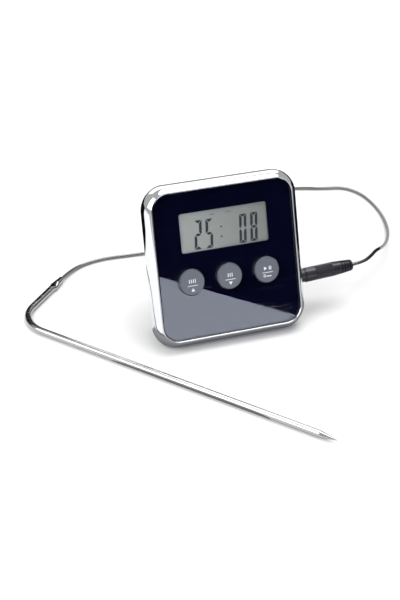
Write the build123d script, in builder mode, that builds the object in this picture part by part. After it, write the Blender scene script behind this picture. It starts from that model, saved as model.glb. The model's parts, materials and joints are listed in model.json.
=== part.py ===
from build123d import *
import math
import os

os.makedirs("parts", exist_ok=True)

# A roasting-probe thermometer and timer: a square case that leans back on a fold-out stand, and a steel
# probe on a braided lead that plugs into the side of the case. Millimetres, +Z up, front towards -Y.
# Inside the case, places are given as (across, up, depth) from the middle of the glass.

# ---- driving dimensions: case
lean = 25.0  # how far the face leans back, and the draft of the rear cover's sides
case_side = 70.0
case_corner = 10.6
rim_width = 3.5
rim_proud = 0.5
rim_widest_depth = 5.2
rim_back_depth = 6.7
rim_tuck = 0.25
rim_curve = -7.5
wall = 1.55
back_wall = 1.4
back_round = 1.0
glass_thick = 2.0
glass_gap = 0.1
mask_thick = 0.15
ledge_thick = 1.5
ledge_reach = 2.0
ledge_corner = 14.0
fit = 0.05  # general assembly clearance

# ---- display
window_width, window_height, window_up = 39.8, 16.9, 13.7
window_corner = 1.0
lcd_width, lcd_height, lcd_thick = 43.0, 22.0, 2.4
lcd_front_depth = 2.6
holder_wall = 1.8
holder_lap = 1.6
zebra_thick = 1.6

# ---- buttons
button_diameter = 11.1
button_gap = 0.25
button_pitch = 17.2
button_up = -7.1
button_proud = 0.75
button_round = 0.4
button_flange = 0.9
button_flange_thick = 0.7
button_travel = 0.4
plunger_radius = 1.7
switch_side = 6.0

# ---- circuit board
board_front_depth = 6.8
board_thick = 1.0
board_margin_across, board_margin_up = 4.92, 4.42  # beyond the case screws
board_corner = 8.0
board_space = 0.25  # between the board and the battery bay

# ---- battery (AAA)
battery_diameter, battery_length = 10.5, 44.5
nub_radius, nub_length = 1.9, 0.8
battery_space = 0.1  # between the battery and the inside of the back
bay_clearance = 0.25
bay_wall = 1.0
bay_floor = 0.9
spring_space = 3.2
plate_thick = 0.4
door_lip = 0.8
door_lip_thick = 0.55
door_skin = 0.3  # left between the door's slot and the inside of the case
door_screw_wall = 0.23

# ---- stand
stand_width = 20.0
stand_door_wall = 1.1
stand_thick = 2.2
stand_pivot_up = 20.0
stand_open = 38.0
stand_barrel_radius = 1.3
stand_recess = 2.8
stand_gap = 0.3
stand_notch_radius = 4.0
pin_radius = 0.75

# ---- magnets and case screws
magnet_radius, magnet_thick = 5.0, 2.0
magnet_up = 9.0
screw_inset = 2.5
screw_radius = 1.0
screw_head_radius, screw_head_thick = 1.75, 1.2
screw_head_sunk = 0.35
post_radius = 2.3
screw_tip_depth = 4.2

# ---- jack and plug
jack_up = -15.0
jack_depth = 10.3
jack_rise = 2.6  # the socket points a little upwards, so that the lead starts clear of the table
jack_boss_radius = 3.3
jack_boss_length = 4.3
pin_r = 1.25
pin_length = 11.0
bore_clearance = 0.05
socket_length, socket_width, socket_height = 9.0, 5.6, 5.0
nose_radius = 2.2
plug_length = 27.4
plug_nose_radius, plug_nose_length = 2.85, 4.1
plug_radius = 3.2
plug_shoulder_radius = 2.95
plug_end_radius = 2.45
grip_start, grip_end, grip_ribs = 9.0, 17.4, 11
grip_depth = 0.16
relief_start, relief_rings = 21.6, 4
relief_pitch, relief_groove, relief_groove_depth = 1.3, 0.5, 0.55

# ---- lead and probe
cord_diameter = 1.5
probe_radius = 1.5
probe_bore = 1.1
probe_bend_radius = 12.5
probe_heading = -48.0  # from the bend towards the tip, on the table
probe_bend_x, probe_bend_y = -85.4, 25.75
probe_reach = 149.6
probe_tail = 37.5
probe_tip_length = 7.5
crimp_length = 8.6
coil_x, coil_y = 34.0, 88.45
coil_mean_radius = 9.0
coil_section = 6.15
coil_lift = 0.5
tie_thick = 0.35
tie_width = 2.5

# The lead from the plug to the coil: it drops to the table in a wide loop beside the case.
# Each point is measured across and back from the plug's end, and up from the table.
plug_side_route = [
    (12.9, 5.3, 16.8),
    (19.3, 13.6, 12.6),
    (27.0, 19.8, 9.4),
    (33.0, 27.5, 6.2),
    (38.5, 36.2, 3.4),
    (42.8, 45.7, 1.5),
    (45.4, 55.9, 0.8),
    (45.6, 66.4, 0.8),
    (43.6, 76.6, 0.8),
    (37.6, 83.7, 0.8),
    (28.2, 85.2, 0.8),
    (18.5, 88.0, 0.8),
    (8.6, 90.5, 0.8),
    (-0.8, 87.0, 0.8),
    (-8.4, 80.4, 0.8),
    (-17.8, 74.4, 0.9),
]
# The lead from the coil to the probe, along the table behind the case.
probe_side_route = [
    (22.4, 78.05, 5.6),
    (11.5, 73.45, 2.2),
    (1.0, 65.95, 0.8),
    (-9.0, 60.75, 0.8),
    (-22.0, 61.25, 0.8),
    (-34.5, 62.05, 0.8),
    (-46.0, 59.65, 0.8),
]

# ---- derived places
draft = math.tan(math.radians(lean))
case_half = case_side / 2
straight = case_half - case_corner
flank_half = case_half - rim_tuck
glass_half = case_half - rim_width
ledge_front_depth = glass_thick + mask_thick
board_back_depth = board_front_depth + board_thick
bay_floor_back = board_back_depth + board_space + bay_floor
battery_depth = bay_floor_back + fit + battery_diameter / 2
cavity_depth = battery_depth + battery_diameter / 2 + battery_space
case_depth = cavity_depth + back_wall


def flank_at(depth):
    """Half the width of the rear cover at a depth behind the glass."""
    return flank_half - (depth - rim_back_depth) * draft


inner_flank = flank_half - wall / math.cos(math.radians(lean))
facet_depth = (rim_back_depth + case_depth - back_round) / 2
face_height = flank_half * math.cos(math.radians(lean)) + rim_back_depth * math.sin(math.radians(lean))
face_y = flank_at(facet_depth) * math.sin(math.radians(lean)) - facet_depth * math.cos(math.radians(lean))

FACE = Plane(
    origin=(0, face_y, face_height),
    x_dir=(1, 0, 0),
    z_dir=(0, -math.cos(math.radians(lean)), math.sin(math.radians(lean))),
)


def at_depth(depth):
    """The plane at a depth behind the glass. It faces the viewer."""
    return FACE.offset(-depth)


def save(builder, name):
    """Label a finished piece and write its file."""
    builder.part.label = name
    export_step(builder.part, f"parts/{name}.step")


def around_case(draw_section):
    """Run a section, drawn as (distance from the middle, depth), along the four sides and round the corners."""
    for quarter in range(4):
        turn = math.radians(90 * quarter)
        outward = FACE.x_dir * math.cos(turn) + FACE.y_dir * math.sin(turn)
        side = Plane(origin=FACE.origin, x_dir=outward, z_dir=FACE.z_dir)
        section_plane = Plane(origin=FACE.origin, x_dir=side.x_dir, z_dir=side.y_dir).offset(straight)
        section = draw_section(section_plane)
        corner_axis = Axis(side.from_local_coords((straight, straight, 0)), side.z_dir)
        extrude(section, amount=-2 * straight)
        revolve(section, axis=corner_axis, revolution_arc=90)


def drafted_block(rim_half, back_depth, edge_round):
    """A solid block with the rear cover's drafted sides, from the rim's back to a given depth."""
    back_half = rim_half - (back_depth - rim_back_depth) * draft

    def flank_section(plane):
        with BuildSketch(plane) as section:
            with BuildLine():
                Polyline(
                    (straight, rim_back_depth),
                    (rim_half, rim_back_depth),
                    (back_half, back_depth),
                    (straight, back_depth),
                    close=True,
                )
            make_face()
            if edge_round:
                fillet(section.vertices().group_by(Axis.Y)[-1].sort_by(Axis.X)[-1], edge_round)
        return section.sketch

    with BuildPart() as block:
        around_case(flank_section)
        with BuildSketch(at_depth(back_depth)):
            Rectangle(2 * straight, 2 * straight)
        extrude(amount=back_depth - rim_back_depth)
    return block


def rounded_plate(width, height, corner, back_depth, thick, centre=(0, 0)):
    """Add a rounded plate, whose back is at a depth, to the part being built."""
    with BuildSketch(at_depth(back_depth)) as outline:
        with Locations(centre):
            RectangleRounded(width, height, corner)
    extrude(outline.sketch, amount=thick)


def plain_block(across, up, width, height, back_depth, thick, mode=Mode.ADD):
    """Add or cut a plain block, whose back is at a depth."""
    with BuildSketch(at_depth(back_depth)) as outline:
        with Locations((across, up)):
            Rectangle(width, height)
    extrude(outline.sketch, amount=thick, mode=mode)


def studs(places, radius, back_depth, length, mode=Mode.ADD):
    """Add or cut a round stud at each place, reaching forward from a depth."""
    with BuildSketch(at_depth(back_depth)) as outline:
        with Locations(*places):
            Circle(radius)
    extrude(outline.sketch, amount=length, mode=mode)


# ---- front frame: the plated rim, the ledge that carries the glass, and four screw bosses
glass_seat = glass_half + glass_gap
frame_inside = inner_flank + 0.2


def rim_section(plane):
    """The rim's section: a narrow lip round the glass, a long outward curve and a slight tuck at the back."""
    lip_start = (glass_seat, 0.4 - rim_proud)
    lip_top = (glass_seat + 0.35, -rim_proud)
    lip_foot = (glass_seat + 0.85, 0.2 - rim_proud)
    widest = (case_half, rim_widest_depth)
    with BuildSketch(plane) as section:
        with BuildLine():
            Polyline(
                widest,
                (flank_half, rim_back_depth),
                (frame_inside, rim_back_depth),
                (frame_inside, ledge_front_depth),
                (glass_seat, ledge_front_depth),
                lip_start,
            )
            ThreePointArc(lip_start, lip_top, lip_foot)
            RadiusArc(lip_foot, widest, rim_curve)
        make_face()
    return section.sketch


screw_reach = flank_at(case_depth) - back_round - screw_inset
bay_half = battery_diameter / 2 + bay_clearance
door_half = bay_half + bay_wall
recess_width = stand_width + 2 * stand_gap
battery_across = door_half + door_screw_wall + screw_head_radius + 0.1 - screw_reach
stand_across = battery_across + door_half + stand_door_wall + recess_width / 2
magnet_across = (stand_across + recess_width / 2 + flank_at(case_depth)) / 2
screw_places = [(side * screw_reach, end * screw_reach) for side in (-1, 1) for end in (-1, 1)]
ledge_half = glass_half - ledge_reach

with BuildPart() as front_frame:
    around_case(rim_section)
    with BuildSketch(at_depth(ledge_front_depth + ledge_thick)):
        RectangleRounded(2 * inner_flank + 0.5, 2 * inner_flank + 0.5, inner_flank + 0.25 - straight)
        RectangleRounded(2 * ledge_half, 2 * ledge_half, ledge_corner, mode=Mode.SUBTRACT)
    extrude(amount=ledge_thick)
    with BuildSketch(at_depth(board_front_depth)):
        with Locations(*screw_places):
            Circle(post_radius)
    extrude(amount=board_front_depth - ledge_front_depth)
    with BuildSketch(at_depth(board_front_depth)):
        with Locations(*screw_places):
            Circle(screw_radius + fit / 2)
    extrude(amount=board_front_depth - screw_tip_depth + 0.4, mode=Mode.SUBTRACT)
save(front_frame, "front_frame")

# ---- clear front panel and the printed mask behind it
button_places = [(step * button_pitch, button_up) for step in (-1, 0, 1)]
button_hole = button_diameter / 2 + button_gap

with BuildPart() as front_panel:
    rounded_plate(2 * glass_half, 2 * glass_half, glass_half - straight, glass_thick, glass_thick)
    with BuildSketch(at_depth(glass_thick)):
        with Locations(*button_places):
            Circle(button_hole)
    extrude(amount=glass_thick, mode=Mode.SUBTRACT)
    front_face = front_panel.faces().sort_by(Axis(FACE.origin, FACE.z_dir))[-1]
    chamfer(front_face.outer_wire().edges(), 0.2)
save(front_panel, "front_panel")

with BuildPart() as panel_mask:
    with BuildSketch(at_depth(ledge_front_depth)):
        RectangleRounded(2 * glass_half - 0.2, 2 * glass_half - 0.2, glass_half - straight - 0.1)
        with Locations(*button_places):
            Circle(button_hole, mode=Mode.SUBTRACT)
        with Locations((0, window_up)):
            RectangleRounded(window_width, window_height, window_corner, mode=Mode.SUBTRACT)
    extrude(amount=mask_thick)
save(panel_mask, "panel_mask")

# ---- display: the liquid-crystal cell, its holder and the rubber contact strip
lcd_back_depth = lcd_front_depth + lcd_thick
zebra_up = window_up + lcd_height / 2 - holder_lap - zebra_thick / 2

with BuildPart() as lcd_glass:
    rounded_plate(lcd_width, lcd_height, 0.4, lcd_back_depth, lcd_thick, (0, window_up))
save(lcd_glass, "lcd_glass")

with BuildPart() as lcd_holder:
    holder_front_depth = ledge_front_depth + fit
    rounded_plate(
        lcd_width + 2 * holder_wall,
        lcd_height + 2 * holder_wall,
        holder_wall,
        board_front_depth,
        board_front_depth - holder_front_depth,
        (0, window_up),
    )
    with BuildSketch(at_depth(lcd_back_depth)):
        with Locations((0, window_up)):
            Rectangle(lcd_width + 4 * fit, lcd_height + 4 * fit)
    extrude(amount=lcd_back_depth, mode=Mode.SUBTRACT)
    with BuildSketch(at_depth(board_front_depth)):
        with Locations((0, window_up - zebra_thick)):
            Rectangle(lcd_width - 4 * holder_lap, lcd_height - 4 * holder_lap)
        with Locations((0, zebra_up)):
            Rectangle(lcd_width - 2 * holder_lap, zebra_thick + 2 * fit)
    extrude(amount=board_front_depth - lcd_back_depth, mode=Mode.SUBTRACT)
    studs(screw_places, post_radius + 0.15, board_front_depth, board_front_depth, mode=Mode.SUBTRACT)
save(lcd_holder, "lcd_holder")

with BuildPart() as zebra_strip:
    with BuildSketch(at_depth(board_front_depth)):
        with Locations((0, zebra_up)):
            Rectangle(lcd_width - 2 * holder_lap - 2 * fit, zebra_thick)
    extrude(amount=board_front_depth - lcd_back_depth)
save(zebra_strip, "zebra_strip")

# ---- circuit board, with what is soldered to it
with BuildPart() as circuit_board:
    board_width, board_height = 2 * (screw_reach + board_margin_across), 2 * (screw_reach + board_margin_up)
    rounded_plate(board_width, board_height, board_corner, board_back_depth, board_thick)
    with BuildSketch(at_depth(board_back_depth)):
        with Locations(*screw_places):
            Circle(screw_radius + 0.3)
    extrude(amount=board_thick, mode=Mode.SUBTRACT)
save(circuit_board, "circuit_board")

chip_radius, chip_height = 4.6, 1.4
chip_place = (stand_across, 6.0)

with BuildPart() as chip_cover:
    studs([chip_place], chip_radius, board_back_depth + chip_height, chip_height)
    fillet(chip_cover.faces().sort_by(Axis(FACE.origin, FACE.z_dir))[0].edges(), chip_height - 0.3)
save(chip_cover, "chip_cover")

# Resistors and capacitors stand on the back of the board: (across, up, width, height, thickness).
small_parts = [(16.0 + 3.4 * column, 2.0 + 4.2 * row, 2.0, 1.25, 0.6) for column in range(3) for row in range(3)]
small_parts += [(-5.0, -12.0, 3.2, 1.6, 1.1), (0.5, -12.0, 3.2, 1.6, 1.1), (6.0, -14.5, 4.0, 2.6, 1.6)]

with BuildPart() as board_components:
    for across, up, width, height, thick in small_parts:
        with BuildSketch(at_depth(board_back_depth)):
            with Locations((across, up)):
                Rectangle(width, height)
        extrude(amount=-thick)
    crystal_plane = Plane(
        origin=at_depth(board_back_depth + 1.05).from_local_coords((stand_across + 5.0, -5.0, 0)),
        z_dir=FACE.x_dir,
    )
    with BuildSketch(crystal_plane):
        Circle(1.05)
    extrude(amount=6.2)
save(board_components, "board_components")

button_back_depth = board_front_depth - 3.8
switch_front_depth = button_back_depth + 0.9
plunger_bottom_depth = switch_front_depth + 1.0

with BuildPart() as switch_bodies:
    for across, up in button_places:
        with BuildSketch(at_depth(board_front_depth)):
            with Locations((across, up)):
                RectangleRounded(switch_side, switch_side, 0.4)
        extrude(amount=board_front_depth - switch_front_depth)
        with BuildSketch(at_depth(plunger_bottom_depth + button_travel + 0.2)):
            with Locations((across, up)):
                Circle(plunger_radius + fit)
        extrude(amount=plunger_bottom_depth, mode=Mode.SUBTRACT)
save(switch_bodies, "switch_bodies")

for (across, up), side in zip(button_places, ("left", "middle", "right")):
    with BuildPart() as plunger:
        with BuildSketch(at_depth(plunger_bottom_depth)):
            with Locations((across, up)):
                Circle(plunger_radius)
        extrude(amount=plunger_bottom_depth - button_back_depth)
    save(plunger, f"plunger_{side}")
    with BuildPart() as button:
        with BuildSketch(at_depth(button_back_depth)):
            with Locations((across, up)):
                Circle(button_diameter / 2 + button_flange)
        extrude(amount=button_flange_thick)
        with BuildSketch(at_depth(button_back_depth)):
            with Locations((across, up)):
                Circle(button_diameter / 2)
        extrude(amount=button_back_depth + button_proud)
        cap_edge = button.faces().sort_by(Axis(FACE.origin, FACE.z_dir))[-1].edges()
        fillet(cap_edge, button_round)
    save(button, f"button_{side}")

# ---- rear cover
battery_bottom = -battery_length / 2
battery_top = battery_length / 2
bay_bottom = battery_bottom - spring_space
bay_top = battery_top + plate_thick
bay_up = (bay_bottom + bay_top) / 2
bay_length = bay_top - bay_bottom

pivot_depth = case_depth - stand_barrel_radius - 0.1
pivot_height = (
    face_height
    + stand_pivot_up * math.cos(math.radians(lean))
    - pivot_depth * math.sin(math.radians(lean))
)
stand_length = pivot_height / math.cos(math.radians(stand_open - lean))
recess_top = stand_pivot_up + stand_barrel_radius + 1.3
recess_bottom = stand_pivot_up - stand_length - 0.6
recess_up = (recess_top + recess_bottom) / 2
recess_floor_depth = case_depth - stand_recess

magnet_places = [(magnet_across, magnet_up), (magnet_across, -magnet_up)]
magnet_floor_depth = case_depth - magnet_thick - fit

jack_tilt = math.radians(jack_rise)
boss_across = flank_half - 0.1
JACK = Plane(
    origin=FACE.from_local_coords((boss_across, jack_up, -jack_depth)),
    x_dir=FACE.x_dir * math.cos(jack_tilt) + FACE.y_dir * math.sin(jack_tilt),
    z_dir=FACE.z_dir,
)
JACK_END = Plane(origin=JACK.origin, x_dir=JACK.y_dir, z_dir=JACK.x_dir)
jack_axis = Axis(JACK.origin, JACK.x_dir)

case_block = drafted_block(flank_half, case_depth, back_round)
cavity_block = drafted_block(inner_flank, cavity_depth, 0)
lip_half = inner_flank + 0.1
lip_front_depth = rim_back_depth - 1.5
lip_root_depth = rim_back_depth + 1.4
ACROSS = Plane(origin=FACE.origin, x_dir=FACE.x_dir, z_dir=FACE.y_dir)  # sketches in (across, depth)
SIDE = Plane(origin=FACE.origin, x_dir=FACE.y_dir, z_dir=-FACE.x_dir)  # sketches in (up, depth)


def door_profile(plane, clearance):
    """The door's section: a panel with a thin sliding tongue along each side."""
    panel = door_half - door_lip - clearance
    tongue = door_half - clearance
    tongue_front = cavity_depth + door_skin + clearance
    tongue_back = cavity_depth + door_skin + door_lip_thick - clearance
    with BuildSketch(plane) as profile:
        with Locations((battery_across, (tongue_front + tongue_back) / 2)):
            Rectangle(2 * tongue, tongue_back - tongue_front)
        with Locations((battery_across, (tongue_front + case_depth + 1) / 2)):
            Rectangle(2 * panel, case_depth + 1 - tongue_front)
    return profile.sketch


door_bottom = bay_bottom - 0.6
recess_height = recess_top - recess_bottom
pad_wall = 1.0
pad_front_depth = recess_floor_depth - back_wall
buzzer_radius, buzzer_thick, buzzer_rim = 9.8, 0.35, 1.2
pin_reach = recess_width / 2 + 0.7
head_seat_depth = case_depth - screw_head_sunk - screw_head_thick
PIVOT = SIDE.from_local_coords((stand_pivot_up, pivot_depth, -stand_across))

with BuildPart() as rear_cover:
    add(case_block.part)
    add(cavity_block.part, mode=Mode.SUBTRACT)
    with BuildSketch(at_depth(lip_root_depth)):
        RectangleRounded(2 * lip_half, 2 * lip_half, lip_half - straight)
        RectangleRounded(2 * lip_half - 2.2, 2 * lip_half - 2.2, lip_half - straight - 1.1, mode=Mode.SUBTRACT)
    extrude(amount=lip_root_depth - lip_front_depth)
    # posts, battery bay, stand pad, magnet pads and the buzzer's rim, all on the inside of the back
    studs(screw_places, post_radius, cavity_depth + fit, cavity_depth + fit - board_back_depth)
    bay_outer = 2 * door_half, bay_length + 2 * bay_wall
    plain_block(battery_across, bay_up, *bay_outer, cavity_depth, cavity_depth - bay_floor_back + bay_floor)
    pad_size = recess_width + 2 * pad_wall, recess_height + 2 * pad_wall
    plain_block(stand_across, recess_up, *pad_size, cavity_depth + fit, cavity_depth + fit - pad_front_depth)
    studs(magnet_places, magnet_radius + 1.0, cavity_depth + fit, cavity_depth + fit - magnet_floor_depth + 1.2)
    buzzer_place = [(stand_across, 0)]
    studs(buzzer_place, buzzer_radius, pad_front_depth, buzzer_rim)
    studs(buzzer_place, buzzer_radius - 1.0, pad_front_depth, buzzer_rim, mode=Mode.SUBTRACT)
    # the jack's boss on the right-hand side
    with BuildSketch(JACK_END):
        Circle(jack_boss_radius)
    extrude(amount=-jack_boss_length)
    # openings: battery bay, door slot, stand recess and pin, magnets, screws and the jack
    bay_depth = case_depth - bay_floor_back + 1
    plain_block(battery_across, bay_up, 2 * bay_half, bay_length, case_depth + 1, bay_depth, Mode.SUBTRACT)
    extrude(door_profile(ACROSS.offset(door_bottom), 0), amount=case_half - door_bottom, mode=Mode.SUBTRACT)
    recess_cut = case_depth + 1 - recess_floor_depth
    plain_block(stand_across, recess_up, recess_width, recess_height, case_depth + 1, recess_cut, Mode.SUBTRACT)
    with BuildSketch(SIDE.offset(-stand_across)):
        with Locations((stand_pivot_up, pivot_depth)):
            Circle(pin_radius + fit / 2)
    extrude(amount=pin_reach + fit, both=True, mode=Mode.SUBTRACT)
    studs(magnet_places, magnet_radius + fit, case_depth, case_depth - magnet_floor_depth, mode=Mode.SUBTRACT)
    studs(screw_places, screw_radius + 0.1, case_depth, case_depth - board_back_depth, mode=Mode.SUBTRACT)
    studs(screw_places, screw_head_radius + 0.1, case_depth, case_depth - head_seat_depth, mode=Mode.SUBTRACT)
    with BuildSketch(JACK_END):
        Circle(nose_radius + fit)
    extrude(amount=-jack_boss_length - 1, mode=Mode.SUBTRACT)
save(rear_cover, "rear_cover")

# ---- battery door, which slides up out of the case
door_grooves, door_groove_pitch = 6, 1.5

with BuildPart() as battery_door:
    extrude(door_profile(ACROSS.offset(door_bottom + fit), fit), amount=case_half - door_bottom)
    add(case_block.part, mode=Mode.INTERSECT)
    with BuildSketch(at_depth(case_depth)):
        with Locations((battery_across, door_bottom + 9)):
            with GridLocations(0, door_groove_pitch, 1, door_grooves):
                RectangleRounded(7.0, 0.7, 0.3)
    extrude(amount=0.4, mode=Mode.SUBTRACT)
save(battery_door, "battery_door")

# ---- battery and its two contacts
BATTERY = ACROSS.offset(battery_bottom)

with BuildPart() as battery:
    with BuildSketch(BATTERY):
        with Locations((battery_across, battery_depth)):
            Circle(battery_diameter / 2)
    extrude(amount=battery_length - nub_length)
    fillet(battery.edges().filter_by(GeomType.CIRCLE), 0.4)
    with BuildSketch(BATTERY):
        with Locations((battery_across, battery_depth)):
            Circle(nub_radius)
    extrude(amount=battery_length)
save(battery, "battery")

with BuildPart() as battery_plate:
    with BuildSketch(ACROSS.offset(battery_top)):
        with Locations((battery_across, battery_depth)):
            RectangleRounded(8.0, 8.0, 1.0)
    extrude(amount=plate_thick)
save(battery_plate, "battery_plate")

leaf_thick = 0.3
with BuildPart() as battery_spring:
    with BuildSketch(SIDE.offset(-battery_across)):
        with BuildLine():
            leaf_foot = bay_bottom + leaf_thick / 2
            leaf_top = battery_bottom - leaf_thick / 2
            Polyline(
                (leaf_foot, battery_depth + 4.0),
                (leaf_foot, battery_depth - 4.0),
                (leaf_top, battery_depth + 1.5),
                (leaf_top - 1.2, battery_depth + 3.4),
            )
        trace(line_width=leaf_thick)
    extrude(amount=2.5, both=True)
save(battery_spring, "battery_spring")

# ---- buzzer, magnets and case screws
with BuildPart() as buzzer_disc:
    studs(buzzer_place, buzzer_radius, pad_front_depth - buzzer_rim, buzzer_thick)
save(buzzer_disc, "buzzer_disc")

with BuildPart() as magnets:
    studs(magnet_places, magnet_radius, case_depth - fit, magnet_thick)
save(magnets, "magnets")

with BuildPart() as case_screws:
    studs(screw_places, screw_head_radius, head_seat_depth + screw_head_thick, screw_head_thick)
    studs(screw_places, screw_radius, head_seat_depth, head_seat_depth - screw_tip_depth)
    with BuildSketch(at_depth(head_seat_depth + screw_head_thick)):
        with Locations(*screw_places):
            Rectangle(2.2, 0.5)
            Rectangle(0.5, 2.2)
    extrude(amount=0.7, mode=Mode.SUBTRACT)
save(case_screws, "case_screws")

# ---- stand: a flap on a steel pin. A square heel meets the recess floor and holds it open.
splay = math.radians(stand_open - lean)
heel_reach, heel_drop = 1.7, stand_recess - stand_barrel_radius - 0.1 - fit
STAND = Plane(
    origin=PIVOT,
    x_dir=(0, math.sin(splay), -math.cos(splay)),
    z_dir=(-1, 0, 0),
)
STAND_PLAN = Plane(origin=PIVOT, x_dir=(1, 0, 0), z_dir=STAND.y_dir)
stand_foot = math.copysign(stand_length, -STAND_PLAN.y_dir.Z)  # along the plan's own upright axis

with BuildPart() as stand:
    with BuildSketch(STAND):
        with BuildLine():
            Polyline(
                (0, -stand_thick / 2),
                (stand_length - stand_thick / 2 * math.tan(splay), -stand_thick / 2),
                (stand_length + stand_thick / 2 * math.tan(splay), stand_thick / 2),
                (0, stand_thick / 2),
                close=True,
            )
        make_face()
        Circle(stand_barrel_radius)
    extrude(amount=stand_width / 2, both=True)
    with BuildSketch(SIDE.offset(-stand_across)):
        with BuildLine():
            Polyline(
                (stand_pivot_up, pivot_depth - heel_drop),
                (stand_pivot_up + heel_reach, pivot_depth - heel_drop),
                (stand_pivot_up + heel_reach, pivot_depth - heel_drop / 2),
                (stand_pivot_up, pivot_depth),
                close=True,
            )
        make_face()
    extrude(amount=stand_width / 2, both=True)
    with BuildSketch(STAND):
        Circle(pin_radius + fit)
    extrude(amount=stand_width, both=True, mode=Mode.SUBTRACT)
    with BuildSketch(STAND_PLAN):
        with Locations((0, stand_foot)):
            Circle(stand_notch_radius)
    extrude(amount=stand_thick, both=True, mode=Mode.SUBTRACT)
    with BuildSketch(STAND_PLAN.offset(stand_thick / 2)):
        with Locations((0, stand_foot / 2)):
            RectangleRounded(stand_width - 5, stand_length * 0.6, 2.0)
    extrude(amount=-0.6, mode=Mode.SUBTRACT)
save(stand, "stand")

with BuildPart() as hinge_pin:
    with BuildSketch(SIDE.offset(-stand_across)):
        with Locations((stand_pivot_up, pivot_depth)):
            Circle(pin_radius)
    extrude(amount=pin_reach, both=True)
save(hinge_pin, "hinge_pin")

# ---- jack socket and its contacts, on the back of the board
socket_front = -jack_boss_length - 0.2
socket_back = socket_front - socket_length
contact_thick, contact_length, contact_height = 0.25, 2.6, jack_depth - board_back_depth + 0.9
contact_gap = pin_r + 0.03
tip_contact, sleeve_contact = -pin_length + 2.0, -jack_boss_length - 2.6


def contact_block(along, side, margin, mode=Mode.ADD):
    """A leaf that stands on the board and touches one side of the plug's pin."""
    lift = jack_depth - board_back_depth
    with BuildSketch(JACK.offset(lift)) as outline:
        with Locations((along, side * (contact_gap + contact_thick / 2 + margin / 2))):
            Rectangle(contact_length + 2 * margin, contact_thick + margin)
    extrude(outline.sketch, amount=-contact_height - margin, mode=mode)


with BuildPart() as jack_socket:
    with BuildSketch(JACK.offset(jack_depth - board_back_depth)):
        with Locations(((socket_front + socket_back) / 2, 0)):
            Rectangle(socket_length, socket_width)
    extrude(amount=-socket_height)
    with BuildSketch(JACK_END):
        Circle(nose_radius)
    extrude(amount=socket_front)
    with BuildSketch(JACK_END):
        Circle(pin_r + bore_clearance)
    extrude(amount=-pin_length - 0.6, mode=Mode.SUBTRACT)
    contact_block(tip_contact, 1, 0.1, Mode.SUBTRACT)
    contact_block(sleeve_contact, -1, 0.1, Mode.SUBTRACT)
save(jack_socket, "jack_socket")

with BuildPart() as jack_contacts:
    contact_block(tip_contact, 1, 0)
    contact_block(sleeve_contact, -1, 0)
save(jack_contacts, "jack_contacts")

# ---- plug: a moulded grip on a two-pole pin
tip_length, ring_length = 2.6, 0.7
flange_radius, flange_near, flange_far = 2.1, 0.5, 1.2
sleeve_end = tip_length + ring_length - pin_length


def turned(points):
    """Revolve an outline, given as (along the jack's axis, radius), about that axis."""
    with BuildSketch(JACK) as outline:
        with BuildLine():
            Polyline(*points, close=True)
        make_face()
    revolve(outline.sketch, axis=jack_axis)


def sleeve_outline():
    return [
        (sleeve_end, 0),
        (sleeve_end, pin_r),
        (flange_near, pin_r),
        (flange_near, flange_radius),
        (flange_far, flange_radius),
        (flange_far, 0),
    ]


grip_pitch = (grip_end - grip_start) / grip_ribs
outline = [
    (fit, 0),
    (fit, plug_nose_radius),
    (plug_nose_length, plug_nose_radius),
    (plug_nose_length, plug_radius - 0.2),
    (plug_nose_length + 0.2, plug_radius),
]
for rib in range(grip_ribs):
    rib_start = grip_start + rib * grip_pitch
    outline += [(rib_start, plug_radius), (rib_start + grip_pitch / 2, plug_radius - grip_depth)]
outline += [(grip_end, plug_radius)]
relief_slope = (plug_shoulder_radius - plug_end_radius) / (plug_length - relief_start)
for ring in range(relief_rings):
    groove_start = relief_start + ring * relief_pitch
    ring_radius = plug_shoulder_radius - relief_slope * (groove_start - relief_start)
    outline += [
        (groove_start, ring_radius),
        (groove_start + 0.1, ring_radius - relief_groove_depth),
        (groove_start + relief_groove - 0.1, ring_radius - relief_groove_depth),
        (groove_start + relief_groove, ring_radius - 0.05),
    ]
outline += [
    (plug_length - 0.5, plug_end_radius),
    (plug_length - 0.15, plug_end_radius - 0.3),
    (plug_length, plug_end_radius - 0.75),
    (plug_length, 0),
]

with BuildPart() as plug_sleeve:
    turned(sleeve_outline())
save(plug_sleeve, "plug_sleeve")

with BuildPart() as plug_body:
    turned(outline)
    add(plug_sleeve.part, mode=Mode.SUBTRACT)
save(plug_body, "plug_body")

with BuildPart() as plug_insulator:
    turned([(sleeve_end, 0), (sleeve_end, pin_r), (sleeve_end - ring_length, pin_r), (sleeve_end - ring_length, 0)])
save(plug_insulator, "plug_insulator")

with BuildPart() as plug_tip:
    tip_start = sleeve_end - ring_length
    turned([
        (tip_start, 0),
        (tip_start, pin_r - 0.35),
        (tip_start - 0.5, pin_r - 0.35),
        (tip_start - 0.9, pin_r),
        (tip_start - 1.4, pin_r),
        (-pin_length + 0.2, 0.5),
        (-pin_length, 0.25),
        (-pin_length, 0),
    ])
save(plug_tip, "plug_tip")

# ---- probe: a bent steel tube with a welded point, a crimp at the lead and a thermistor near the point
ahead = Vector(math.cos(math.radians(probe_heading)), math.sin(math.radians(probe_heading)), 0)
aside = Vector(-ahead.Y, ahead.X, 0)
bend = Vector(probe_bend_x, probe_bend_y, probe_radius)
crimp_start = bend + aside * (probe_tail - crimp_length)
crimp_end = bend + aside * probe_tail
tip_base = bend + ahead * (probe_reach - probe_tip_length)
spigot_length = 3.0
thermistor_length, thermistor_radius = 4.0, 0.9
wire_radius = 0.55


def along_probe(end):
    """The probe's centre line, from the crimp round the bend to a point on the straight."""
    FilletPolyline(crimp_start, bend, end, radius=probe_bend_radius)


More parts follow.
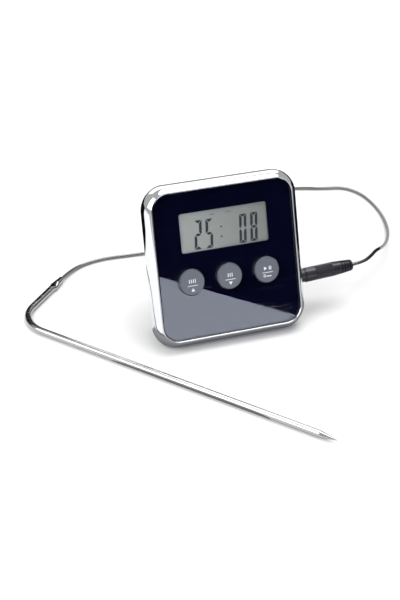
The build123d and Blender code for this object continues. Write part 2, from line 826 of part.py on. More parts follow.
with BuildPart() as probe_tube:
    with BuildLine() as probe_line:
        along_probe(tip_base)
    with BuildSketch(Plane(origin=crimp_start, z_dir=-aside)):
        Circle(probe_radius)
        Circle(probe_bore, mode=Mode.SUBTRACT)
    sweep()
    # the crimp: pressed flat in the middle, and drawn in where the lead enters
    crimp_shape = [(0, 1.0, 1.0), (0.26, 1.36, 0.66), (0.52, 1.02, 0.96), (1, 0.8, 0.8)]
    for part_way, wide, tall in crimp_shape:
        place = crimp_start + aside * (crimp_length * part_way)
        with BuildSketch(Plane(origin=place, x_dir=ahead, z_dir=aside)):
            if wide == tall:
                Circle(probe_radius * wide)
            else:
                Ellipse(probe_radius * wide, probe_radius * tall)
    loft(ruled=True)
save(probe_tube, "probe_tube")

with BuildPart() as probe_tip:
    point_radius = 0.2
    with BuildSketch(Plane(origin=tip_base, x_dir=ahead, z_dir=(0, 0, 1))):
        with BuildLine():
            Polyline(
                (-spigot_length, 0),
                (-spigot_length, probe_bore - 0.02),
                (0, probe_bore - 0.02),
                (0, probe_radius),
                (probe_tip_length - 0.15, point_radius),
                (probe_tip_length, 0),
                close=True,
            )
        make_face()
    revolve(axis=Axis(tip_base, ahead))
save(probe_tip, "probe_tip")

thermistor_end = tip_base - ahead * (spigot_length + 0.2)
thermistor_start = thermistor_end - ahead * thermistor_length
with BuildPart() as thermistor:
    with BuildSketch(Plane(origin=thermistor_start, z_dir=ahead)):
        Circle(thermistor_radius)
    extrude(amount=thermistor_length)
    fillet(thermistor.edges().filter_by(GeomType.CIRCLE), 0.5)
save(thermistor, "thermistor")

with BuildPart() as probe_wires:
    with BuildLine():
        along_probe(thermistor_start)
    with BuildSketch(Plane(origin=crimp_start, z_dir=-aside)):
        Circle(wire_radius)
    sweep()
save(probe_wires, "probe_wires")


# ---- braided lead
def corner_radii(points):
    """The largest arc that the two runs at each corner allow."""
    radii = []
    for before, corner, after in zip(points, points[1:], points[2:]):
        run_in, run_out = corner - before, after - corner
        half_turn = math.radians(run_in.get_angle(run_out)) / 2
        radii.append(0.45 * min(run_in.length, run_out.length) / math.tan(half_turn))
    return radii


def lead(points, name):
    """A round tube along straight runs and tangent arcs."""
    points = [Vector(*point) for point in points]
    radii = corner_radii(points)
    with BuildPart() as tube:
        with BuildLine() as route:
            FilletPolyline(*points, radius=radii)
        with BuildSketch(Plane(origin=points[0], z_dir=points[1] - points[0])):
            Circle(cord_diameter / 2)
        sweep()
    length = route.wires()[0].length
    section = math.pi * cord_diameter**2 / 4
    print(name, "length", round(length, 1), "volume ratio", round(tube.part.volume / (section * length), 4))
    print("  radii", [round(radius, 1) for radius in radii])
    save(tube, name)
    return tube


plug_end = JACK.from_local_coords((plug_length, 0, 0))
plug_lead_out = JACK.from_local_coords((plug_length + 6.0, 0, 0))
beside_case = [(plug_end.X + across, plug_end.Y + back, height) for across, back, height in plug_side_route]
coil_side = coil_mean_radius + coil_section / 2 - cord_diameter / 2
coil_entry = (coil_x, coil_y - coil_side, coil_lift + cord_diameter / 2 + 0.05)
coil_exit = (coil_x, coil_y - coil_mean_radius, coil_lift + coil_section - cord_diameter / 2)
crimp_lead_out = crimp_end + aside * 5.0

cord_plug_side = lead([plug_end, plug_lead_out, *beside_case, coil_entry], "cord_plug_side")
cord_probe_side = lead([coil_exit, *probe_side_route, crimp_lead_out, crimp_end], "cord_probe_side")

with BuildPart() as cord_coil:
    with BuildSketch(Plane(origin=(coil_x, coil_y, 0), x_dir=(1, 0, 0), z_dir=(0, -1, 0))):
        with Locations((coil_mean_radius, coil_lift + coil_section / 2)):
            RectangleRounded(coil_section, coil_section, cord_diameter / 2)
    revolve(axis=Axis((coil_x, coil_y, 0), (0, 0, 1)))
save(cord_coil, "cord_coil")

tie_angle = math.radians(70)
tie_gap = 0.15
tie_height = coil_lift + coil_section + tie_gap + tie_thick
tie_across = coil_section + 0.5 + 2 * tie_thick
with BuildPart() as coil_tie:
    tie_plane = Plane(
        origin=(coil_x, coil_y, 0),
        x_dir=(math.cos(tie_angle), math.sin(tie_angle), 0),
        z_dir=(math.sin(tie_angle), -math.cos(tie_angle), 0),
    )
    with BuildSketch(tie_plane):
        with Locations((coil_mean_radius, tie_height / 2)):
            RectangleRounded(tie_across, tie_height, 1.0)
            inner_width, inner_height = tie_across - 2 * tie_thick, tie_height - 2 * tie_thick
            RectangleRounded(inner_width, inner_height, 1.0 - tie_thick, mode=Mode.SUBTRACT)
    extrude(amount=tie_width / 2, both=True)
save(coil_tie, "coil_tie")
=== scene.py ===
"""A roasting-probe thermometer and timer on a white table.

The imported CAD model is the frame. This file gives every piece its finish, replaces the lead's tubes by one
smooth braided cord, and adds the display's segments and the marks on the buttons and the battery door.
Sizes are in millimetres and become metres through MM.
"""

import json
import math

import bmesh
import bpy
from mathutils import Matrix, Vector


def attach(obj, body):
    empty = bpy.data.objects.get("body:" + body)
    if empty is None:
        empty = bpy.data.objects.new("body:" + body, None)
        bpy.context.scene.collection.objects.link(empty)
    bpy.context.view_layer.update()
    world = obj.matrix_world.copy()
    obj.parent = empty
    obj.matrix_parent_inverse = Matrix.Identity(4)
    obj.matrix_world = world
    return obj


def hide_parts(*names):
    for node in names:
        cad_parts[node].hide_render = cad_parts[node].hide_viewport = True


bl_info = {
    "name": "Probe timer",
    "version": (1, 0, 0),
    "blender": (4, 5, 0),
    "location": "View3D > Sidebar > Probe timer",
    "description": "Finishes, display, button marks, lead and stage for a roasting-probe thermometer",
    "category": "Object",
}

MM = 0.001
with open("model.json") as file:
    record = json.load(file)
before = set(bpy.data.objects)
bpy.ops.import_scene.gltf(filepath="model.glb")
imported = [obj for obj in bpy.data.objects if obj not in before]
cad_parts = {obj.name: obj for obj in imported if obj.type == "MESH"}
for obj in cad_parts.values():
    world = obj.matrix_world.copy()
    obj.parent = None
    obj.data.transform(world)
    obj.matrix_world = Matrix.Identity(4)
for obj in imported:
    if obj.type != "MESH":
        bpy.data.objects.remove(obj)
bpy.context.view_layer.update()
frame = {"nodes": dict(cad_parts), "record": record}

# ---- the face of the case: places on it are (across, up, proud of the glass), in millimetres
LEAN = math.radians(25)
FACE = Vector((0, 1.276, 34.326))
ACROSS = Vector((1, 0, 0))
UP = Vector((0, math.sin(LEAN), math.cos(LEAN)))
OUT = Vector((0, -math.cos(LEAN), math.sin(LEAN)))

LCD_DEPTH = 2.6
# across the face: where the painted shade on the display starts, and where it is at its darkest
PAINTED_SHADE_LEFT, PAINTED_SHADE_RIGHT = -18, 20
CASE_DEPTH = 21.0
BUTTON_PROUD = 0.75
BUTTON_PLACES = {"left": (-17.2, -7.1), "middle": (0, -7.1), "right": (17.2, -7.1)}
DOOR_ACROSS = -16.0
COAT = 0.02  # how thick printed marks stand
GAP_PAINTED_SHADE = 0.12  # how dark the painted shade is in the gaps between the braid's strands


def on_face(across, up, proud=0.0):
    return (FACE + ACROSS * across + UP * up + OUT * proud) * MM


# ---- the lead's route, in millimetres: the same points as the CAD tubes
JACK_RISE = math.radians(2.6)
JACK_DIRECTION = ACROSS * math.cos(JACK_RISE) + UP * math.sin(JACK_RISE)
JACK_ACROSS, JACK_DROP, JACK_DEPTH = 34.65, 15.0, 10.3
JACK = FACE + ACROSS * JACK_ACROSS - UP * JACK_DROP - OUT * JACK_DEPTH
PLUG_LENGTH = 27.4
PLUG_LEAD_OUT, CRIMP_LEAD_OUT = 6.0, 5.0  # how far the lead runs straight at its ends
PLUG_SIDE_ROUTE = [
    (12.9, 5.3, 16.8),
    (19.3, 13.6, 12.6),
    (27.0, 19.8, 9.4),
    (33.0, 27.5, 6.2),
    (38.5, 36.2, 3.4),
    (42.8, 45.7, 1.5),
    (45.4, 55.9, 0.8),
    (45.6, 66.4, 0.8),
    (43.6, 76.6, 0.8),
    (37.6, 83.7, 0.8),
    (28.2, 85.2, 0.8),
    (18.5, 88.0, 0.8),
    (8.6, 90.5, 0.8),
    (-0.8, 87.0, 0.8),
    (-8.4, 80.4, 0.8),
    (-17.8, 74.4, 0.9),
]  # across and back from the plug's end, and up from the table
PROBE_SIDE_ROUTE = [
    (22.4, 78.05, 5.6),
    (11.5, 73.45, 2.2),
    (1.0, 65.95, 0.8),
    (-9.0, 60.75, 0.8),
    (-22.0, 61.25, 0.8),
    (-34.5, 62.05, 0.8),
    (-46.0, 59.65, 0.8),
]
PROBE_BEND = Vector((-85.4, 25.75, 1.5))
PROBE_HEADING = math.radians(-48)
PROBE_TAIL = 37.5
COIL = Vector((34.0, 88.45, 0))
COIL_INNER, COIL_OUTER = 6.75, 11.25
COIL_FIRST_LAYER, COIL_LAYER_STEP = 1.3, 1.5
COIL_LAYER_TURNS, COIL_CLIMB_TURNS = 3, 1 / 3
COIL_LAST_SHIFT = 1.5
COIL_POINTS = 16  # to a turn


def coil_turns():
    """Points all along the winding: three turns in, up a layer, three turns out, and so on."""
    stages = [
        (COIL_LAYER_TURNS, COIL_OUTER, COIL_INNER, 0, 0),
        (COIL_CLIMB_TURNS, COIL_INNER, COIL_INNER, 0, 1),
        (COIL_LAYER_TURNS, COIL_INNER, COIL_OUTER, 1, 1),
        (COIL_CLIMB_TURNS, COIL_OUTER, COIL_OUTER, 1, 2),
        (COIL_LAYER_TURNS, COIL_OUTER, COIL_INNER, 2, 2),
        (COIL_CLIMB_TURNS, COIL_INNER, COIL_INNER, 2, 3),
        (1, COIL_INNER, COIL_INNER + COIL_LAST_SHIFT, 3, 3),
    ]  # turns, first and last radius, first and last layer
    whole = sum(stage[0] for stage in stages)
    for step in range(round(whole * COIL_POINTS) + 1):
        turned = step / COIL_POINTS
        left = turned
        for turns, start, end, low, high in stages:
            if left <= turns:
                break
            left -= turns
        else:
            left = turns  # the last point, past the end by a rounding
        share = left / turns
        angle = -math.pi / 2 - 2 * math.pi * turned
        radius = (start + (end - start) * share) / math.cos(math.pi / COIL_POINTS)
        height = COIL_FIRST_LAYER + COIL_LAYER_STEP * (low + (high - low) * share)
        yield COIL + Vector((radius * math.cos(angle), radius * math.sin(angle), height))


def lead_route():
    """Control points of the whole lead, from the plug to the crimp on the probe."""
    plug_end = JACK + JACK_DIRECTION * PLUG_LENGTH
    aside = Vector((-math.sin(PROBE_HEADING), math.cos(PROBE_HEADING), 0))
    crimp_end = PROBE_BEND + aside * PROBE_TAIL
    points = [plug_end, plug_end + JACK_DIRECTION * PLUG_LEAD_OUT]
    points += [Vector((plug_end.x + x, plug_end.y + y, z)) for x, y, z in PLUG_SIDE_ROUTE]
    points += coil_turns()
    points += [Vector(point) for point in PROBE_SIDE_ROUTE]
    points += [crimp_end + aside * CRIMP_LEAD_OUT, crimp_end]
    return points


# ---- shader helpers
def add(tree, kind, place=(0, 0), **values):
    """A node of a kind, with properties or numbered and named inputs set."""
    made = tree.nodes.new(kind)
    made.location = place
    for key, value in values.items():
        if key == "inputs":
            for name, setting in value.items():
                made.inputs[name].default_value = setting
        else:
            setattr(made, key, value)
    return made


def new_group(name, ins, outs):
    """An empty shader group with named sockets, and its two ends."""
    group = bpy.data.node_groups.new(name, "ShaderNodeTree")
    for label, kind, value in ins:
        socket = group.interface.new_socket(name=label, in_out="INPUT", socket_type=kind)
        if value is not None:
            socket.default_value = value
    for label, kind in outs:
        group.interface.new_socket(name=label, in_out="OUTPUT", socket_type=kind)
    return group, add(group, "NodeGroupInput", (-900, 0)), add(group, "NodeGroupOutput", (700, 0))


def moulding_group():
    """Fine moulded texture: a fine grain, broader patches, and the height for a bump."""
    group, start, end = new_group(
        "Moulded surface",
        [("Vector", "NodeSocketVector", None), ("Grain per metre", "NodeSocketFloat", 2500.0),
         ("Patch per metre", "NodeSocketFloat", 60.0)],
        [("Patches", "NodeSocketFloat"), ("Height", "NodeSocketFloat")],
    )
    grain = add(group, "ShaderNodeTexNoise", (-600, 150), inputs={"Detail": 3.0, "Roughness": 0.6})
    pits = add(group, "ShaderNodeTexVoronoi", (-600, -150))
    patches = add(group, "ShaderNodeTexNoise", (-600, -400), inputs={"Detail": 5.0, "Roughness": 0.65})
    blend = add(group, "ShaderNodeMath", (-300, 0), operation="MULTIPLY_ADD", inputs={1: 0.5})
    sharpen = add(group, "ShaderNodeMapRange", (-300, -400), inputs={"From Min": 0.3, "From Max": 0.7})
    scales = ((grain, "Grain per metre"), (pits, "Grain per metre"), (patches, "Patch per metre"))
    for texture, scale in scales:
        group.links.new(start.outputs["Vector"], texture.inputs["Vector"])
        group.links.new(start.outputs[scale], texture.inputs["Scale"])
    group.links.new(pits.outputs["Distance"], blend.inputs[0])
    group.links.new(grain.outputs["Fac"], blend.inputs[2])
    group.links.new(patches.outputs["Fac"], sharpen.inputs["Value"])
    group.links.new(sharpen.outputs["Result"], end.inputs["Patches"])
    group.links.new(blend.outputs["Value"], end.inputs["Height"])
    return group


def handling_group():
    """Handling: hairline scratches in crossing directions and faint smudges."""
    group, start, end = new_group(
        "Handling marks",
        [("Vector", "NodeSocketVector", None), ("Scratches per metre", "NodeSocketFloat", 900.0),
         ("Smudges per metre", "NodeSocketFloat", 45.0)],
        [("Scratches", "NodeSocketFloat"), ("Smudges", "NodeSocketFloat")],
    )
    lines = []
    for turn, stretch in ((0.5, 0.03), (-1.1, 0.02)):
        mapping = add(group, "ShaderNodeMapping", (-650, 200 * turn))
        mapping.inputs["Rotation"].default_value = (0.4, turn, turn)
        mapping.inputs["Scale"].default_value = (stretch, 1.0, 1.0)
        noise = add(group, "ShaderNodeTexNoise", (-450, 200 * turn), inputs={"Detail": 1.0})
        ridge = add(group, "ShaderNodeMapRange", (-250, 200 * turn),
                    inputs={"From Min": 0.66, "From Max": 0.74})
        group.links.new(start.outputs["Vector"], mapping.inputs["Vector"])
        group.links.new(mapping.outputs["Vector"], noise.inputs["Vector"])
        group.links.new(start.outputs["Scratches per metre"], noise.inputs["Scale"])
        group.links.new(noise.outputs["Fac"], ridge.inputs["Value"])
        lines.append(ridge)
    joined = add(group, "ShaderNodeMath", (0, 100), operation="MAXIMUM")
    smudge = add(group, "ShaderNodeTexNoise", (-450, -450), inputs={"Detail": 6.0, "Distortion": 0.8})
    soft = add(group, "ShaderNodeMapRange", (-250, -450), inputs={"From Min": 0.42, "From Max": 0.75})
    group.links.new(lines[0].outputs["Result"], joined.inputs[0])
    group.links.new(lines[1].outputs["Result"], joined.inputs[1])
    group.links.new(start.outputs["Vector"], smudge.inputs["Vector"])
    group.links.new(start.outputs["Smudges per metre"], smudge.inputs["Scale"])
    group.links.new(smudge.outputs["Fac"], soft.inputs["Value"])
    group.links.new(joined.outputs["Value"], end.inputs["Scratches"])
    group.links.new(soft.outputs["Result"], end.inputs["Smudges"])
    return group


def weave_group():
    """Two sets of flat strands wound in opposite directions round a cord, and a mask of the gaps between
    them for painted shade.
    """
    group, start, end = new_group(
        "Braid weave",
        [("Vector", "NodeSocketVector", None), ("Strands along", "NodeSocketFloat", 700.0),
         ("Strands round", "NodeSocketFloat", 4.0)],
        [("Strand", "NodeSocketFloat"), ("Gap", "NodeSocketFloat")],
    )
    parts = add(group, "ShaderNodeSeparateXYZ", (-700, 0))
    along = add(group, "ShaderNodeMath", (-500, 150), operation="MULTIPLY")
    round_ = add(group, "ShaderNodeMath", (-500, -150), operation="MULTIPLY")
    group.links.new(start.outputs["Vector"], parts.inputs["Vector"])
    group.links.new(parts.outputs["X"], along.inputs[0])
    group.links.new(start.outputs["Strands along"], along.inputs[1])
    group.links.new(parts.outputs["Y"], round_.inputs[0])
    group.links.new(start.outputs["Strands round"], round_.inputs[1])
    waves = []
    for kind, height in (("ADD", 150), ("SUBTRACT", -150)):
        slant = add(group, "ShaderNodeMath", (-300, height), operation=kind)
        wave = add(group, "ShaderNodeMath", (-100, height), operation="PINGPONG", inputs={1: 0.5})
        group.links.new(along.outputs["Value"], slant.inputs[0])
        group.links.new(round_.outputs["Value"], slant.inputs[1])
        group.links.new(slant.outputs["Value"], wave.inputs[0])
        waves.append(wave)
    over = add(group, "ShaderNodeMath", (100, 100), operation="MAXIMUM")
    under = add(group, "ShaderNodeMath", (100, -100), operation="MINIMUM")
    for target in (over, under):
        group.links.new(waves[0].outputs["Value"], target.inputs[0])
        group.links.new(waves[1].outputs["Value"], target.inputs[1])
    strand = add(group, "ShaderNodeMath", (300, 100), operation="MULTIPLY", inputs={1: 2.0})
    gap = add(group, "ShaderNodeMapRange", (300, -100), inputs={"From Min": 0.0, "From Max": 0.12})
    group.links.new(over.outputs["Value"], strand.inputs[0])
    group.links.new(under.outputs["Value"], gap.inputs["Value"])
    group.links.new(strand.outputs["Value"], end.inputs["Strand"])
    group.links.new(gap.outputs["Result"], end.inputs["Gap"])
    return group


GROUP_MAKERS = {
    "Moulded surface": moulding_group,
    "Handling marks": handling_group,
    "Braid weave": weave_group,
}
GROUPS = {}


def place_group(tree, name, **values):
    """One of the shared effects, placed in a material's tree with its own values."""
    if name not in GROUPS:
        GROUPS[name] = GROUP_MAKERS[name]()
    made = tree.nodes.new("ShaderNodeGroup")
    made.node_tree = GROUPS[name]
    for key, value in values.items():
        made.inputs[key.replace("_", " ").capitalize()].default_value = value
    return made


def surface(name, colour, second, rough, rough_change, metallic=0.0, grain=2500.0, patch=60.0, bump=0.1,
            depth=0.02, scratch=0.0, coat=0.0, coat_rough=0.1, specular=0.5, weave=None):
    """A finish: two close colours in patches, uneven gloss, grain and hairline scratches.

    The depth of the grain is in millimetres, and a weave is its strands to a metre and round the cord; a
    weave also brings painted shade in the gaps between strands.
    """
    material = bpy.data.materials.new(name)
    material.use_nodes = True
    tree = material.node_tree
    shader = tree.nodes["Principled BSDF"]
    shader.inputs["Metallic"].default_value = metallic
    shader.inputs["Coat Weight"].default_value = coat
    shader.inputs["Coat Roughness"].default_value = coat_rough
    shader.inputs["Specular IOR Level"].default_value = specular
    place = add(tree, "ShaderNodeTexCoord", (-1100, 0))
    moulded = place_group(tree, "Moulded surface", grain_per_metre=grain, patch_per_metre=patch)
    handled = place_group(tree, "Handling marks")
    for group in (moulded, handled):
        tree.links.new(place.outputs["Object"], group.inputs["Vector"])
    tint = add(tree, "ShaderNodeMix", (-400, 200), data_type="RGBA")
    tint.inputs["A"].default_value = (*colour, 1)
    tint.inputs["B"].default_value = (*second, 1)
    tree.links.new(moulded.outputs["Patches"], tint.inputs["Factor"])
    tree.links.new(tint.outputs["Result"], shader.inputs["Base Color"])
    gloss = add(tree, "ShaderNodeMapRange", (-400, -50),
                inputs={"To Min": rough, "To Max": rough + rough_change})
    scratched = add(tree, "ShaderNodeMath", (-200, -50), operation="MULTIPLY_ADD", use_clamp=True,
                    inputs={1: scratch})
    tree.links.new(handled.outputs["Smudges"], gloss.inputs["Value"])
    tree.links.new(handled.outputs["Scratches"], scratched.inputs[0])
    tree.links.new(gloss.outputs["Result"], scratched.inputs[2])
    tree.links.new(scratched.outputs["Value"], shader.inputs["Roughness"])
    relief = add(tree, "ShaderNodeBump", (-200, -300), inputs={"Strength": bump, "Distance": depth * MM})
    tree.links.new(moulded.outputs["Height"], relief.inputs["Height"])
    tree.links.new(relief.outputs["Normal"], shader.inputs["Normal"])
    if weave:
        braid = place_group(tree, "Braid weave", strands_along=weave[0], strands_round=weave[1])
        tree.links.new(place.outputs["UV"], braid.inputs["Vector"])
        tree.links.new(braid.outputs["Strand"], relief.inputs["Height"])
        # painted shade: in the gaps between strands the colour is darkened to a small share of itself
        dark = add(tree, "ShaderNodeMix", (-200, 300), data_type="RGBA")
        dark.inputs["A"].default_value = (*(part * GAP_PAINTED_SHADE for part in colour), 1)
        tree.links.new(braid.outputs["Gap"], dark.inputs["Factor"])
        tree.links.new(tint.outputs["Result"], dark.inputs["B"])
        tree.links.new(dark.outputs["Result"], shader.inputs["Base Color"])
    return material


def clear_panel(name, **values):
    """Clear polished glass that lets lamps through to the display behind it."""
    material = surface(name, **values)
    tree = material.node_tree
    shader = tree.nodes["Principled BSDF"]
    shader.inputs["Transmission Weight"].default_value = 1.0
    shader.inputs["IOR"].default_value = 1.5
    for link in list(shader.inputs["Normal"].links):
        tree.links.remove(link)
    path = add(tree, "ShaderNodeLightPath", (100, 300))
    through = add(tree, "ShaderNodeBsdfTransparent", (100, -200))
    mix = add(tree, "ShaderNodeMixShader", (350, 100))
    tree.links.new(path.outputs["Is Shadow Ray"], mix.inputs["Fac"])
    tree.links.new(shader.outputs["BSDF"], mix.inputs[1])
    tree.links.new(through.outputs["BSDF"], mix.inputs[2])
    tree.links.new(mix.outputs["Shader"], tree.nodes["Material Output"].inputs["Surface"])
    return material


def display_cell(name, **values):
    """The reflective cell: a green-grey, with painted shade that darkens it towards the right."""
    material = surface(name, **values)
    tree = material.node_tree
    shader = tree.nodes["Principled BSDF"]
    place = next(node for node in tree.nodes if node.type == "TEX_COORD")
    # painted shade: the cell's colour is multiplied darker from the left of the display to the right
    parts = add(tree, "ShaderNodeSeparateXYZ", (-900, 500))
    edges = {"From Min": PAINTED_SHADE_LEFT * MM, "From Max": PAINTED_SHADE_RIGHT * MM}
    painted_shade_ramp = add(tree, "ShaderNodeMapRange", (-700, 500), inputs=edges)
    shade = add(tree, "ShaderNodeMix", (-100, 500), data_type="RGBA", blend_type="MULTIPLY")
    # how dark the painted shade makes the cell at the right
    shade.inputs["B"].default_value = (0.62, 0.62, 0.58, 1)
    tint = shader.inputs["Base Color"].links[0].from_socket
    tree.links.new(place.outputs["Object"], parts.inputs["Vector"])
    tree.links.new(parts.outputs["X"], painted_shade_ramp.inputs["Value"])
    tree.links.new(painted_shade_ramp.outputs["Result"], shade.inputs["Factor"])
    tree.links.new(tint, shade.inputs["A"])
    tree.links.new(shade.outputs["Result"], shader.inputs["Base Color"])
    return material


# Each finish has its colour and a close second one, its roughness, and what smudges add to that.
FINISHES = {
    "chromed_rim": dict(colour=(0.78, 0.79, 0.81), second=(0.73, 0.74, 0.76), rough=0.03, rough_change=0.05,
                        metallic=1.0, bump=0.01, scratch=0.08),
    "clear_panel": dict(colour=(0.93, 0.95, 1.0), second=(0.9, 0.93, 1.0), rough=0.0, rough_change=0.03,
                        bump=0.0, scratch=0.05),
    "black_print": dict(colour=(0.0018, 0.002, 0.011), second=(0.0014, 0.0016, 0.009), rough=0.6,
                        rough_change=0.1, bump=0.02, specular=0.0),
    "display_grey": dict(colour=(0.3, 0.3, 0.245), second=(0.325, 0.325, 0.265), rough=0.32,
                         rough_change=0.08, grain=5000.0, bump=0.03, depth=0.01),
    "black_plastic": dict(colour=(0.02, 0.02, 0.022), second=(0.028, 0.028, 0.03), rough=0.45,
                          rough_change=0.12),
    "contact_rubber": dict(colour=(0.25, 0.25, 0.27), second=(0.2, 0.2, 0.22), rough=0.8, rough_change=0.1),
    "circuit_board": dict(colour=(0.02, 0.13, 0.04), second=(0.03, 0.18, 0.07), rough=0.3,
                          rough_change=0.15, patch=300.0),
    "black_epoxy": dict(colour=(0.015, 0.015, 0.016), second=(0.02, 0.02, 0.02), rough=0.25,
                        rough_change=0.15),
    "components": dict(colour=(0.36, 0.27, 0.17), second=(0.12, 0.1, 0.09), rough=0.5, rough_change=0.2,
                       patch=400.0),
    "switch_metal": dict(colour=(0.55, 0.55, 0.53), second=(0.48, 0.48, 0.47), rough=0.35,
                         rough_change=0.15, metallic=1.0),
    "brass": dict(colour=(0.7, 0.52, 0.2), second=(0.62, 0.44, 0.16), rough=0.3, rough_change=0.15,
                  metallic=1.0),
    "nickel": dict(colour=(0.66, 0.63, 0.58), second=(0.6, 0.57, 0.52), rough=0.16, rough_change=0.12,
                   metallic=1.0, scratch=0.2),
    "case_plastic": dict(colour=(0.017, 0.017, 0.019), second=(0.024, 0.024, 0.026), rough=0.42,
                         rough_change=0.14, grain=3200.0, bump=0.35, depth=0.03, scratch=0.1),
    "battery_jacket": dict(colour=(0.3, 0.31, 0.33), second=(0.25, 0.26, 0.28), rough=0.28,
                           rough_change=0.12, coat=0.4),
    "magnet_nickel": dict(colour=(0.62, 0.61, 0.59), second=(0.55, 0.54, 0.52), rough=0.14,
                          rough_change=0.14, metallic=1.0, scratch=0.3),
    "screw_steel": dict(colour=(0.4, 0.4, 0.41), second=(0.3, 0.3, 0.31), rough=0.28, rough_change=0.15,
                        metallic=1.0, scratch=0.3),
    "plug_rubber": dict(colour=(0.014, 0.014, 0.021), second=(0.02, 0.02, 0.029), rough=0.22,
                        rough_change=0.1, grain=4200.0, bump=0.15, specular=0.6),
    "braided_steel": dict(colour=(0.42, 0.41, 0.4), second=(0.34, 0.33, 0.33), rough=0.3, rough_change=0.12,
                          metallic=1.0, bump=0.7, depth=0.12, weave=(1100.0, 4.0)),
    "tie_plastic": dict(colour=(0.03, 0.03, 0.032), second=(0.04, 0.04, 0.042), rough=0.35,
                        rough_change=0.15),
    "probe_steel": dict(colour=(0.5, 0.49, 0.48), second=(0.44, 0.43, 0.43), rough=0.16, rough_change=0.08,
                        metallic=1.0, bump=0.03, scratch=0.18),
    "wire_insulation": dict(colour=(0.6, 0.57, 0.5), second=(0.55, 0.52, 0.45), rough=0.5,
                            rough_change=0.1),
    "button_grey": dict(colour=(0.08, 0.086, 0.108), second=(0.092, 0.098, 0.122), rough=0.32,
                        rough_change=0.1, bump=0.04, coat=0.25, coat_rough=0.2),
    "plunger_plastic": dict(colour=(0.03, 0.03, 0.03), second=(0.04, 0.04, 0.04), rough=0.4,
                            rough_change=0.1),
    "button_print": dict(colour=(0.72, 0.74, 0.78), second=(0.66, 0.68, 0.72), rough=0.5, rough_change=0.1,
                         bump=0.03),
    "display_ink": dict(colour=(0.004, 0.004, 0.006), second=(0.006, 0.006, 0.008), rough=0.4,
                        rough_change=0.1, bump=0.02),
    "faint_ink": dict(colour=(0.12, 0.12, 0.105), second=(0.14, 0.14, 0.12), rough=0.4, rough_change=0.1,
                      bump=0.02),
    "door_mark": dict(colour=(0.05, 0.05, 0.053), second=(0.06, 0.06, 0.063), rough=0.5, rough_change=0.1,
                      bump=0.05),
}
MAKERS = {"clear_panel": clear_panel, "display_grey": display_cell}  # the others are plain surfaces
MADE = {}


def finish(name):
    """The material of that name, made the first time that it is asked for."""
    if name not in MADE:
        MADE[name] = MAKERS.get(name, surface)(name, **FINISHES[name])
    return MADE[name]


# ---- mesh helpers
def flat_piece(name, outlines, proud, thick, material, body, outward=1.0, edge=0.0):
    """Outlines on the face, given as (across, up), each made a plate, and all joined as one piece."""
    mesh = bmesh.new()
    for outline in outlines:
        low = [mesh.verts.new(on_face(x, y, proud)) for x, y in outline]
        high = [mesh.verts.new(on_face(x, y, proud + outward * thick)) for x, y in outline]
        mesh.faces.new(low)
        mesh.faces.new(high)
        for i in range(len(outline)):
            j = (i + 1) % len(outline)
            mesh.faces.new((low[i], low[j], high[j], high[i]))
    bmesh.ops.recalc_face_normals(mesh, faces=mesh.faces)
    data = bpy.data.meshes.new(name)
    mesh.to_mesh(data)
    mesh.free()
    piece = bpy.data.objects.new(name, data)
    bpy.context.scene.collection.objects.link(piece)
    data.materials.append(finish(material))
    if edge:
        soften = piece.modifiers.new("soft edge", "BEVEL")
        soften.width, soften.segments = edge * MM, 2
    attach(piece, body)


ROUND_STEPS = 8  # to the half circle at the end of a bar


def bar(x, y, width, height):
    """A rectangle with rounded ends, as an outline."""
    radius = min(width, height) / 2
    if width >= height:
        ends = ((x + width / 2 - radius, y, -90), (x - width / 2 + radius, y, 90))
    else:
        ends = ((x, y + height / 2 - radius, 0), (x, y - height / 2 + radius, 180))
    outline = []
    for cx, cy, first in ends:
        for step in range(ROUND_STEPS + 1):
            angle = math.radians(first + step * 180 / ROUND_STEPS)
            outline.append((cx + radius * math.cos(angle), cy + radius * math.sin(angle)))
    return outline


def triangle(x, y, size, way):
    """A triangle that points up (way 1) or down (way -1)."""
    half, base, tip = size * 0.6, y - way * size * 0.45, y + way * size * 0.55
    return [(x - half, base), (x + half, base), (x, tip)]


def ring(x, y, radius, width, parts=20):
    """A ring as separate short outlines."""
    outlines = []
    for step in range(parts):
        corners = []
        for edge, reach in ((0, radius), (1, radius), (1, radius - width), (0, radius - width)):
            angle = 2 * math.pi * (step + edge) / parts
            corners.append((x + reach * math.cos(angle), y + reach * math.sin(angle)))
        outlines.append(corners)
    return outlines


DIGIT_WIDTH, DIGIT_HEIGHT, STROKE, SEGMENT_GAP, SLANT = 3.3, 12.4, 1.2, 0.16, 0.07
SEGMENTS = {"2": "abged", "5": "afgcd", "0": "abcdef", "8": "abcdefg"}


def digit(figure, x, y):
    """The lit segments of one figure, with mitred ends and small gaps, leaning a little to the right."""
    w, h, s, gap = DIGIT_WIDTH / 2, DIGIT_HEIGHT / 2, STROKE, SEGMENT_GAP
    cut = s * 0.5
    level = [(-w + gap + cut * 0.4, 0), (-w + gap + s, -s / 2), (w - gap - s, -s / 2),
             (w - gap - cut * 0.4, 0), (w - gap - s, s / 2), (-w + gap + s, s / 2)]
    top = [(-w + gap, h), (w - gap, h), (w - gap - s, h - s), (-w + gap + s, h - s)]
    bottom = [(px, -py) for px, py in top]
    side = [(w, h - gap), (w, gap + cut), (w - cut, gap), (w - s, gap + s), (w - s, h - gap - s)]
    parts = {
        "a": top,
        "b": side,
        "c": [(px, -py) for px, py in side],
        "d": bottom,
        "e": [(-px, -py) for px, py in side],
        "f": [(-px, py) for px, py in side],
        "g": level,
    }
    return [[(x + px + SLANT * py, y + py) for px, py in parts[key]] for key in SEGMENTS[figure]]


